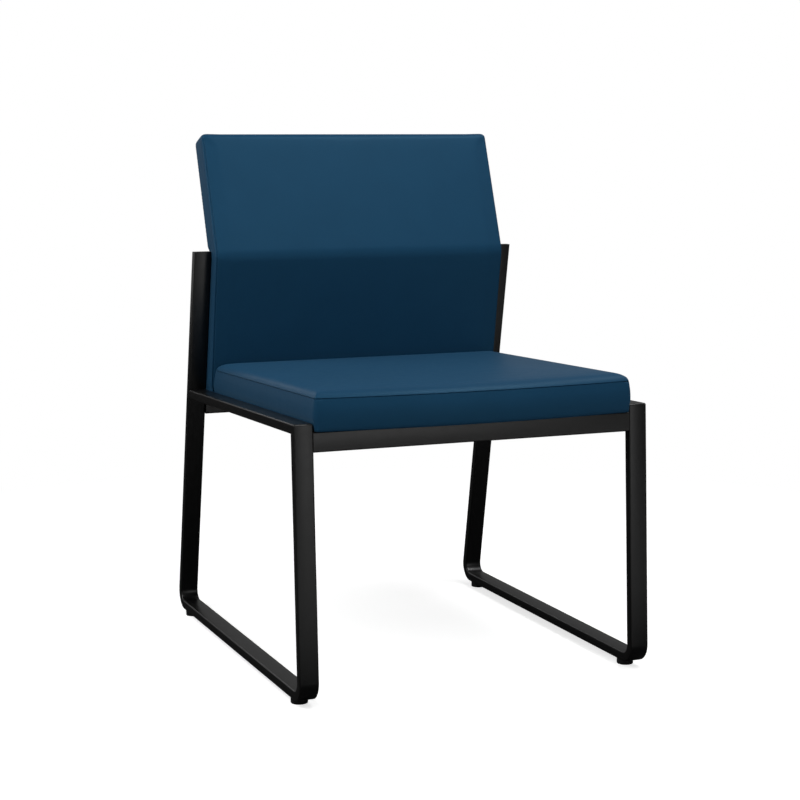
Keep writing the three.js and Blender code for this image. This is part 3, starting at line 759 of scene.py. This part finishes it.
# The shoulder over the seam: how far in it ends, its run, its rows and their crowding
SHOULDER_END = 0.017
SHOULDER_RUN = 0.0324
SHOULDER_STEPS = 14
SHOULDER_CROWDING = 1.9
SHOULDER_WIDTH = 0.0055  # in which its rise fades
CROWN_WIDTH = 0.06  # in which the crown's rise fades
CROWN_ROWS = (0.03, 0.05, 0.08, 0.12, 0.17, 0.24)  # insets past the seam


def seat_profile(seat):
    """Rows from the lower edge, over the seam and the shoulder, to the middle of the top."""
    rows = list(BOXING)
    for k in range(SHOULDER_STEPS + 1):
        run = SHOULDER_END * (k / SHOULDER_STEPS) ** SHOULDER_CROWDING
        rise = seat.shoulder * (1 - math.exp(-run / SHOULDER_WIDTH))
        crown = seat.crown * (1 - math.exp(-run / CROWN_WIDTH))
        rows.append((seat.seam_height + SHOULDER_RUN * k / SHOULDER_STEPS, SEAM_INSET + run,
                     seat.seam_height + rise + crown))
    shoulder_done = rows[-1][0]
    for run in CROWN_ROWS:
        rise = seat.shoulder + seat.crown * (1 - math.exp(-run / CROWN_WIDTH))
        rows.append((shoulder_done + run - SHOULDER_END, SEAM_INSET + run,
                     seat.seam_height + rise))
    return rows


def seat_pad():
    """The seat: a boxed cushion with a bowed front, a round shoulder and one seam."""
    seat = settings("seat")
    low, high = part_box("seat_cover")
    half = (high.x - low.x) / 2
    middle_y = (SEAT_FRONT + SEAT_REAR) / 2
    half_y = (SEAT_REAR - SEAT_FRONT) / 2
    roll, roll_reach = SEAT_REAR_ROLL
    top = seat.seam_height + seat.shoulder
    piece = rounded_block("seat_pad", half, half_y, 0, top, SEAT_CORNER)
    rows = seat_profile(seat)

    def form(point):
        x, y, z = point
        inside, out = from_outline(x, y, half, half_y, SEAT_CORNER)
        run = z + inside if z > top / 2 else z - inside
        inset, height = on_profile(rows, run)
        if run > rows[-1][0]:
            inset = inside
        x += out.x * (inside - inset)
        y += out.y * (inside - inset)
        ahead = max(0, -y / half_y) ** SEAT_BOW_FADE
        behind = max(0, y / half_y) ** SEAT_REAR_FADE
        arch = (1 - min(1, (x / (half - inset)) ** 2 if inset < half else 1)) * ahead
        y -= seat.bow * arch
        y -= (SEAT_REAR_LEAN * height + roll * min(inset, roll_reach)) * behind
        x -= out.x * SEAT_SQUEEZE * eased(RAILS_OVER + SEAT_SQUEEZE_EASE, RAILS_OVER, height)
        return Vector((x, middle_y + y, height))

    reshape(piece, form)
    swell(piece, seat.swell, lambda point: point.z < RAILS_OVER + SEAT_HOLD
          or abs(point.z - seat.seam_height) < SEAT_HOLD)
    apply_modifier(piece, "SUBSURF", levels=1, render_levels=1)
    sunk_seam(piece, seat.seam_height, width=0.0012, depth=0.0021)
    pucker(piece, lambda point: abs(point.z - seat.seam_height), lambda point: point.x + point.y)
    place(piece, seat_matrix())
    smooth(piece, degrees=60)
    hand_over(piece, "upholstery", "seat_cover", "seat_foam")


# Underside of the seat, in the seat's own frame

LINING_CELLS = 110  # along each side
LINING_HALF = 0.227
LINING_FRONT = 0.0082
LINING_REAR = 0.464
LINING_MIDDLE = 0.0009  # height of the middle of its thickness
LINING_THICKNESS = 0.0004
LINING_SAG = 0.0008
LINING_SAG_REACH = 0.05  # distance from the edge in which it comes to hang so low
LINING_PUFF = 0.0009  # how far it stands off between two staples
LINING_PUFF_REACH = (0.004, 0.02)  # distances from the edge in which that comes and goes
SLIT_SIDES = (0.163, 0.197)  # of the slits round the brackets, each side of the middle
SLIT_FRONT = 0.0438
SLIT_REAR = 0.4347
STAPLE = (0.0105, 0.0012, 0.0007)  # length, width and height
STAPLE_EDGE = 0.0002
STAPLE_SPACING = 0.034
STAPLE_INSET = 0.006


def in_slit(x, y):
    return SLIT_SIDES[0] < abs(x) < SLIT_SIDES[1] and not SLIT_FRONT < y < SLIT_REAR


def seat_lining():
    """Lining cloth stapled flat under the seat, slit round the brackets."""
    width = 2 * LINING_HALF
    length = LINING_REAR - LINING_FRONT
    bpy.ops.mesh.primitive_grid_add(x_subdivisions=LINING_CELLS, y_subdivisions=LINING_CELLS,
                                    size=1)
    piece = started("seat_lining")
    with editing(piece):
        bpy.ops.transform.resize(value=(width, length, 1))
        move(0, LINING_FRONT + length / 2, LINING_MIDDLE)
        for x in SLIT_SIDES:
            score((x, 0, 0), (1, 0, 0))
            score((-x, 0, 0), (1, 0, 0))
        for y in (SLIT_FRONT, SLIT_REAR):
            score((0, y, 0), (0, 1, 0))
        pick("faces", lambda face: in_slit(*middle(face).xy))
        bpy.ops.mesh.delete(type="FACE")
    come, go = LINING_PUFF_REACH

    def drawn(point):
        x, y, z = point
        side = LINING_HALF - abs(x)
        end = min(y - LINING_FRONT, LINING_REAR - y)
        along = y if side < end else x
        inside = max(0, min(side, end) - STAPLE_INSET)
        between = math.sin(math.pi * along / STAPLE_SPACING) ** 2
        puff = math.exp(-inside / go) * (1 - math.exp(-inside / come))
        slack = 1 - math.exp(-inside / LINING_SAG_REACH)
        return Vector((x, y, z - LINING_SAG * slack - LINING_PUFF * puff * between))

    reshape(piece, drawn)
    apply_modifier(piece, "SOLIDIFY", thickness=LINING_THICKNESS, offset=0)
    place(piece, seat_matrix())
    smooth(piece, degrees=50)
    hand_over(piece, "lining", "seat_dust_cover")


def staple_places():
    """Where the staples sit round the lining's edge, as (x, y, quarter turns)."""
    half = LINING_HALF - STAPLE_INSET
    front = LINING_FRONT + STAPLE_INSET
    rear = LINING_REAR - STAPLE_INSET
    count = round(2 * half / STAPLE_SPACING)
    for k in range(count + 1):
        share = k / count
        yield -half + 2 * half * share, front, 0
        yield -half + 2 * half * share, rear, 0
    for k in range(1, count):
        y = front + (rear - front) * k / count
        yield -half, y, 1
        yield half, y, 1


def staples():
    """Wire staples round the lining: one made, the rest copied and joined to it."""
    bpy.ops.mesh.primitive_cube_add(size=1)
    pattern = started("staple_pattern")
    with editing(pattern):
        bpy.ops.transform.resize(value=STAPLE)
        bpy.ops.mesh.bevel(offset=STAPLE_EDGE, segments=2, affect="EDGES")
    level = LINING_MIDDLE - LINING_THICKNESS / 2 - STAPLE[2] / 4
    copies = []
    for x, y, turns in staple_places():
        if in_slit(x, y):
            continue
        copy = bpy.data.objects.new("staple", pattern.data.copy())
        bpy.context.scene.collection.objects.link(copy)
        copy.matrix_world = Matrix.Translation((x, y, level)) @ Matrix.Rotation(
            turns * math.pi / 2, 4, "Z")
        copies.append(copy)
    bpy.data.objects.remove(pattern)
    on_its_own(copies[0])
    for copy in copies:
        copy.select_set(True)
    bpy.ops.object.join()
    piece = bpy.context.object
    piece.name = piece.data.name = "seat_staples"
    bpy.ops.object.transform_apply(location=True, rotation=True, scale=True)
    place(piece, seat_matrix())
    smooth(piece, degrees=30)
    hand_over(piece, "fastener")


# Back. It is modelled flat, as (across, run, depth), and then bent

BACK_VERTEX = Vector((0.162958, 0.633))  # [y, z] where the front face's two flats would meet
BACK_LOWER_LEAN = math.radians(9.6)
BACK_UPPER_LEAN = math.radians(20.6)
BACK_HALF_TURN = (BACK_LOWER_LEAN + BACK_UPPER_LEAN) / 2
BACK_TAN = math.tan(BACK_HALF_TURN)
BACK_LOWER = 0.2505
BACK_UPPER = 0.2169
BACK_LEAST_RADIUS = 0.003
BACK_CORNER = 0.009
BACK_SQUEEZE = 0.0025  # each side, where it lies between the posts or the seat rails
BACK_BETWEEN_POSTS = (0.026, 0.031)  # depths from the front face where it starts and is full
BACK_BETWEEN_RAILS = (0.024, 0.0205)  # runs up the back where it starts and is full
POSTS_PAST_BEND = 0.0095  # run from the bend's end to the posts' tops
POSTS_EASE = 0.006  # run past them in which it ends
BACK_SEAM_OUT = 0.0203  # of the seams, from the middle of the thickness
BACK_HOLD = 0.005  # distance from the sides in which the cover can't swell
BACK_SEAM_BAND = 0.006  # distance from the sides in which the seams are sunk
BACK_SEAM_STOP = 0.012  # distance from the ends at which they stop
# From the middle of the edge strip to the middle of a face, as [run, inset, out]: at the sides,
# in front and at the rear, and at the two ends
BACK_SIDE = ((0, 0, 0), (0.015, 0.0001, 0.015), (0.0185, 0.0007, 0.0182),
             (0.0203, 0.0014, 0.0197), (0.0217, 0.0023, 0.0206), (0.0235, 0.0036, 0.0214),
             (0.0262, 0.0056, 0.0221), (0.0315, 0.0094, 0.0225), (0.0495, 0.026, 0.0228),
             (0.0915, 0.068, 0.0231), (0.1715, 0.148, 0.0234), (0.2815, 0.258, 0.0235))
BACK_REAR_SIDE = ((0, 0, 0), (0.0185, 0, 0.0185), (0.021, 0.0009, 0.0212),
                  (0.0235, 0.0022, 0.0226), (0.0262, 0.0046, 0.0229), *BACK_SIDE[7:])
BACK_END = ((0, 0, 0), (0.013, 0.0001, 0.013), (0.0175, 0.0010, 0.0168),
            (0.0225, 0.0032, 0.0200), (0.028, 0.0063, 0.0219), (0.034, 0.0105, 0.0224),
            *BACK_SIDE[8:])


def back_bend(depth, run):
    """The [y, z] place of a point at a depth behind the front face and a run up it."""
    radius = settings("back").bend_radius
    lower_up = Vector((-math.sin(BACK_LOWER_LEAN), math.cos(BACK_LOWER_LEAN)))
    upper_up = Vector((math.sin(BACK_UPPER_LEAN), math.cos(BACK_UPPER_LEAN)))
    lower_in = Vector((lower_up.y, -lower_up.x))
    upper_in = Vector((upper_up.y, -upper_up.x))
    lower_run = BACK_LOWER - radius * BACK_TAN
    bend_run = radius * 2 * BACK_HALF_TURN
    whole_run = lower_run + bend_run + BACK_UPPER - radius * BACK_TAN
    inner = max(radius - depth, BACK_LEAST_RADIUS)
    vertex = BACK_VERTEX + (lower_in + upper_in).normalized() * (depth / math.cos(BACK_HALF_TURN))
    start = vertex - lower_up * inner * BACK_TAN
    end = vertex + upper_up * inner * BACK_TAN
    if run <= lower_run:
        foot = BACK_VERTEX - lower_up * BACK_LOWER + lower_in * depth
        return foot.lerp(start, run / lower_run)
    if run >= lower_run + bend_run:
        head = BACK_VERTEX + upper_up * BACK_UPPER + upper_in * depth
        return end.lerp(head, (run - lower_run - bend_run) / (whole_run - lower_run - bend_run))
    turn = 2 * BACK_HALF_TURN * (run - lower_run) / bend_run
    centre = start + lower_in * inner
    angle = math.atan2(lower_in.y, lower_in.x) - turn
    return centre - Vector((math.cos(angle), math.sin(angle))) * inner


def back_pad():
    """The back: one bent pad with a strip round its sides, sewn in near each face."""
    back = settings("back")
    low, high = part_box("back_cover")
    cut = back.bend_radius * (BACK_TAN - BACK_HALF_TURN)
    run = BACK_LOWER + BACK_UPPER - 2 * cut
    half = (high.x - low.x) / 2
    half_run = run / 2
    half_depth = back.thickness / 2
    bend_end = BACK_LOWER + back.bend_radius * (2 * BACK_HALF_TURN - BACK_TAN)
    posts_run = bend_end + POSTS_PAST_BEND
    piece = rounded_block("back_pad", half, half_run, -half_depth, half_depth, BACK_CORNER)

    def form(point):
        x, y, z = point
        inside, out = from_outline(x, y, half, half_run, BACK_CORNER)
        along = abs(z) + inside
        side_inset, side_out = on_profile(BACK_REAR_SIDE if z > 0 else BACK_SIDE, along)
        end_inset, end_out = on_profile(BACK_END, along)
        share = out.y ** 2
        inset = side_inset + (end_inset - side_inset) * share
        between_posts = (eased(*BACK_BETWEEN_POSTS, half_depth + z)
                         * eased(posts_run + POSTS_EASE, posts_run, half_run + y))
        between_rails = eased(*BACK_BETWEEN_RAILS, half_run + y)
        x += out.x * (inside - inset - BACK_SQUEEZE * max(between_posts, between_rails))
        y += out.y * (inside - inset)
        return Vector((x, y, math.copysign(side_out + (end_out - side_out) * share, z)))

    reshape(piece, form)
    swell(piece, back.swell, lambda point: abs(point.x) > half - BACK_HOLD)
    apply_modifier(piece, "SUBSURF", levels=1, render_levels=1)
    for seam_z in (-BACK_SEAM_OUT, BACK_SEAM_OUT):
        sunk_seam(piece, seam_z, width=0.0011, depth=0.0016,
                  along=lambda point: abs(point.x) > half - BACK_SEAM_BAND
                  and abs(point.y) < half_run - BACK_SEAM_STOP)
    pucker(piece, lambda point: math.hypot(half - abs(point.x), abs(point.z) - BACK_SEAM_OUT),
           lambda point: point.y)

    def bent(point):
        y, z = back_bend(half_depth + point.z, half_run + point.y)
        return Vector((point.x, y, z))

    reshape(piece, bent)
    face_outwards(piece)
    smooth(piece, degrees=60)
    hand_over(piece, "upholstery", "back_cover", "back_foam", "back_rear_pad")


# Operators

class CHAIR_OT_frame(bpy.types.Operator):
    """Models the welded frame: side loops, seat rails and cross rails"""
    bl_idname = "chair.frame"
    bl_label = "Welded frame"

    def execute(self, context):
        for side in SIDES:
            side_tube(side)
            seat_rail(side)
        for end in PLACES:
            cross_rail(end)
        return {"FINISHED"}


class CHAIR_OT_glides(bpy.types.Operator):
    """Models the four nylon glides under the runners"""
    bl_idname = "chair.glides"
    bl_label = "Glides"

    def execute(self, context):
        glides()
        return {"FINISHED"}


class CHAIR_OT_seat_pad(bpy.types.Operator):
    """Models the seat's padded cover"""
    bl_idname = "chair.seat_pad"
    bl_label = "Seat pad"

    def execute(self, context):
        seat_pad()
        return {"FINISHED"}


class CHAIR_OT_seat_underside(bpy.types.Operator):
    """Models the lining under the seat and its staples"""
    bl_idname = "chair.seat_underside"
    bl_label = "Seat underside"

    def execute(self, context):
        seat_lining()
        staples()
        return {"FINISHED"}


class CHAIR_OT_back_pad(bpy.types.Operator):
    """Models the back's padded cover"""
    bl_idname = "chair.back_pad"
    bl_label = "Back pad"

    def execute(self, context):
        back_pad()
        return {"FINISHED"}


class CHAIR_OT_finishes(bpy.types.Operator):
    """Gives every piece that comes with the frame the finish of its slot"""
    bl_idname = "chair.finishes"
    bl_label = "Finishes"

    def execute(self, context):
        slots = {part["node"]: part["material_slot"] for part in frame["record"]["subparts"]}
        for name, node in frame["nodes"].items():
            node.data.materials.clear()
            node.data.materials.append(look_of(slots[name]))
        return {"FINISHED"}


class CHAIR_OT_studio(bpy.types.Operator):
    """Sets up the floor, the lights and the camera"""
    bl_idname = "chair.studio"
    bl_label = "Studio"

    def execute(self, context):
        floor()
        sky()
        lights()
        camera()
        return {"FINISHED"}


# Studio

def for_camera(tree, shown, lighting):
    """Mixes two shaders: one that the camera sees, and one that lights everything else."""
    path = tree.nodes.new("ShaderNodeLightPath")
    mix = tree.nodes.new("ShaderNodeMixShader")
    tree.links.new(path.outputs["Is Camera Ray"], mix.inputs["Fac"])
    tree.links.new(lighting, mix.inputs[1])
    tree.links.new(shown, mix.inputs[2])
    return mix.outputs["Shader"]


def floor():
    """A pale floor. It shows white, with faint shadows, and throws little light at the chair: the
    light it throws back is painted dark under and behind the chair, as painted shade for the
    seat's shadow.
    """
    bpy.ops.mesh.primitive_plane_add(size=FLOOR_SIZE, location=(0, 0, 0))
    piece = started("studio_floor")
    look = new_look("pale floor", {
        "Base Color": (0.8, 0.8, 0.8, 1), "Roughness": 1, "Specular IOR Level": 0,
        "Emission Color": (1, 1, 1, 1), "Emission Strength": FLOOR_GLOW})
    nodes = look.node_tree.nodes
    links = look.node_tree.links
    spot = texture(look, "Gradient")
    spot.gradient_type = "SPHERICAL"
    reach = nodes.new("ShaderNodeMapping")
    reach.inputs["Scale"].default_value = (1 / FLOOR_REACH,) * 3
    links.new(nodes["Coordinates"].outputs["Object"], reach.inputs["Vector"])
    links.new(reach.outputs["Vector"], spot.inputs["Vector"])
    far = nodes.new("ShaderNodeEmission")
    shown = nodes.new("ShaderNodeMixShader")
    links.new(ranged(look, spot.outputs["Fac"], 0, 1, end=FLOOR_FADE), shown.inputs["Fac"])
    links.new(far.outputs["Emission"], shown.inputs[1])
    links.new(nodes["Principled BSDF"].outputs["BSDF"], shown.inputs[2])
    # The light thrown back is painted shade under and behind the chair, and full only well ahead
    # of it
    split = nodes.new("ShaderNodeSeparateXYZ")
    links.new(nodes["Coordinates"].outputs["Object"], split.inputs["Vector"])
    ahead = ranged(look, split.outputs["Y"], 0, 1, *FLOOR_AHEAD)
    lighting = nodes.new("ShaderNodeBsdfDiffuse")
    links.new(tinted(look, ahead, (FLOOR_RETURN_WITH_PAINTED_SHADE["under"],) * 3, (FLOOR_RETURN_WITH_PAINTED_SHADE["ahead"],) * 3),
              lighting.inputs["Color"])
    links.new(for_camera(look.node_tree, shown.outputs["Shader"], lighting.outputs["BSDF"]),
              nodes["Material Output"].inputs["Surface"])
    piece.data.materials.append(look)


# Soft light of the room: where each part of it comes from, and its strength
SKY = {"ahead": ((0, -1, 0), 0.15), "behind": ((0, 1, 0), 0.3), "left": ((-1, 0, 0), 0.3)}
# Softboxes: where each stands, what it faces, its size and its power in watts
LAMPS = {
    "overhead": ((0.8, -0.6, 2.45), (0, 0, 0.4), (0.6, 0.6), 16.8),
    "overhead_front": ((0.1, -1.7, 2.4), (0, 0, 0.4), (1.6, 1.0), 14),
    "back_low": ((-0.5, 2.6, 1.45), (-0.2, 0, 0.42), (1.0, 0.4), 3),
    "left_high": ((-1.8, -0.5, 2.2), (0, 0, 0.4), (1.2, 1.2), 26),
    "left_behind": ((-2.2, 1.2, 1.3), (0, 0, 0.5), (1.2, 1.4), 9),
    "front_low": ((0.9, -3.2, 0.6), (0, 0, 0.3), (1.0, 1.0), 5),
    "right_high": ((1.8, 0.1, 2.3), (0, 0, 0.4), (1.2, 1.2), 9.4),
}


def sky():
    """A world that is white to the camera and a soft dim room to everything else."""
    world = bpy.data.worlds.new("studio sky")
    world.use_nodes = True
    nodes = world.node_tree.nodes
    links = world.node_tree.links
    coordinates = nodes.new("ShaderNodeTexCoord")
    total = 0
    for direction, strength in SKY.values():
        towards = nodes.new("ShaderNodeVectorMath")
        towards.operation = "DOT_PRODUCT"
        towards.inputs[1].default_value = direction
        links.new(coordinates.outputs["Generated"], towards.inputs[0])
        lobe = computed(world.node_tree, "MAXIMUM", towards.outputs["Value"], 0)
        total = computed(world.node_tree, "MULTIPLY_ADD", lobe, strength, total)
    room = nodes.new("ShaderNodeBackground")
    links.new(total, room.inputs["Strength"])
    nodes["Background"].inputs["Color"].default_value = (1, 1, 1, 1)
    links.new(for_camera(world.node_tree, nodes["Background"].outputs["Background"],
                         room.outputs["Background"]), nodes["World Output"].inputs["Surface"])
    bpy.context.scene.world = world


def lights():
    for name, (stand, aim, size, watts) in LAMPS.items():
        bpy.ops.object.light_add(type="AREA", location=stand)
        lamp = bpy.context.object
        lamp.name = name
        lamp.data.shape = "RECTANGLE"
        lamp.data.size, lamp.data.size_y = size
        lamp.data.energy = watts
        facing = Vector(aim) - Vector(stand)
        lamp.rotation_euler = facing.to_track_quat("-Z", "Y").to_euler()
        lamp.visible_camera = False


def camera():
    studio = settings("studio")
    bpy.ops.object.camera_add(location=studio.camera_place)
    eye = bpy.context.object
    eye.name = "photo_camera"
    eye.rotation_euler = (math.pi / 2 - studio.camera_dip, 0, -studio.camera_turn)
    eye.data.sensor_width = SENSOR_WIDTH
    eye.data.lens = studio.focal_pixels / PICTURE_WIDTH * SENSOR_WIDTH
    bpy.context.scene.camera = eye
    bpy.context.scene.view_settings.view_transform = "Standard"


class CHAIR_PT_sidebar(bpy.types.Panel):
    """Lists the chair's pieces in the order they are made"""
    bl_label = "Visitor chair"
    bl_space_type = "VIEW_3D"
    bl_region_type = "UI"
    bl_category = "Chair"

    def draw(self, context):
        for operator in OPERATORS:
            self.layout.operator(operator.bl_idname)
        for name, group in SETTINGS.items():
            box = self.layout.box()
            box.label(text=name.title())
            for value in group.__annotations__:
                box.prop(settings(name), value)


SETTINGS = {"finish": FinishSettings, "seat": SeatSettings, "back": BackSettings,
            "studio": StudioSettings}
OPERATORS = (CHAIR_OT_finishes, CHAIR_OT_frame, CHAIR_OT_glides, CHAIR_OT_seat_pad,
             CHAIR_OT_seat_underside, CHAIR_OT_back_pad, CHAIR_OT_studio)


def register():
    for group in (*SETTINGS.values(), *OPERATORS, CHAIR_PT_sidebar):
        bpy.utils.register_class(group)
    for name, group in SETTINGS.items():
        setattr(bpy.types.Scene, f"chair_{name}", PointerProperty(type=group))


def unregister():
    for name in SETTINGS:
        delattr(bpy.types.Scene, f"chair_{name}")
    for group in (CHAIR_PT_sidebar, *OPERATORS, *SETTINGS.values()):
        bpy.utils.unregister_class(group)


def main():
    register()
    for operator in OPERATORS:
        group, name = operator.bl_idname.split(".")
        getattr(getattr(bpy.ops, group), name)()


if __name__ == "__main__":
    main()
